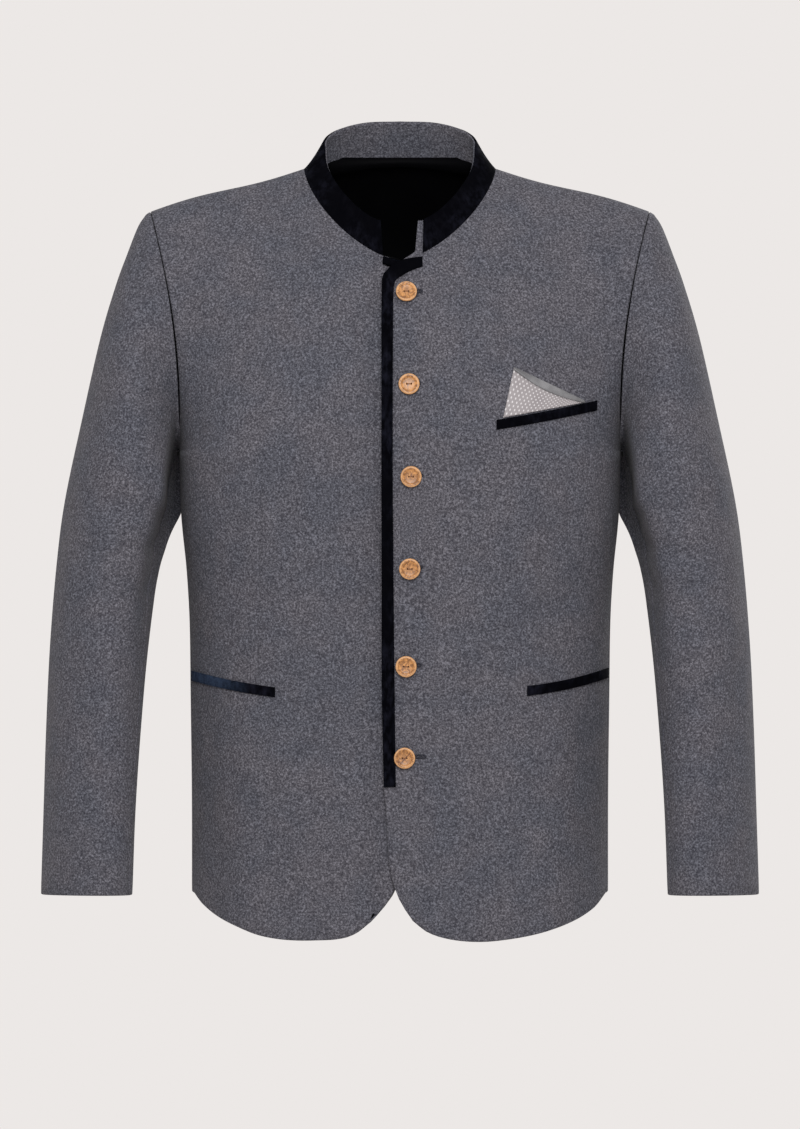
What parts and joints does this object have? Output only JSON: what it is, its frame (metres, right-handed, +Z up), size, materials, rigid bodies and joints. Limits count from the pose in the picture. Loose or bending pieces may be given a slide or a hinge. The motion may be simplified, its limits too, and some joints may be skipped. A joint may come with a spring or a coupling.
{
  "type": "tyrolean loden jacket",
  "caption": "Hip-length loden jacket with a stand collar, velvet collar, front edge and pocket welts, horn buttons and a folded pochette.",
  "frame": {"origin": "between the shoulders at the height where the shoulder seams meet the collar, where the wearer's neck and shoulders carry the jacket", "axes": "+Z up, -Y to the jacket's front, +X to the wearer's left"},
  "size_m": [0.6828, 0.2513, 0.7813],
  "materials": {
    "loden": "grey melange loden, felted wool, matt",
    "velvet": "dark navy velvet, short pile",
    "lining": "black satin lining",
    "silk": "pale grey silk with small white dots",
    "horn": "tan stag horn with brown marks, satin polish"
  },
  "bodies": {
    "root": {"front_left": "loden", "front_right": "loden", "back_left": "loden", "back_right": "loden", "sleeve_top_left": "loden", "sleeve_top_right": "loden", "sleeve_under_left": "loden", "sleeve_under_right": "loden", "collar_outer": "velvet", "collar_inner": "loden", "lining_back": "lining", "trim_left": "velvet", "trim_right": "velvet", "chest_welt": "velvet", "hip_welt_left": "velvet", "hip_welt_right": "velvet", "pocket_square": "silk", "button_1": "horn", "button_2": "horn", "button_3": "horn", "button_4": "horn", "button_5": "horn", "button_6": "horn"}
  },
  "joints": []
}
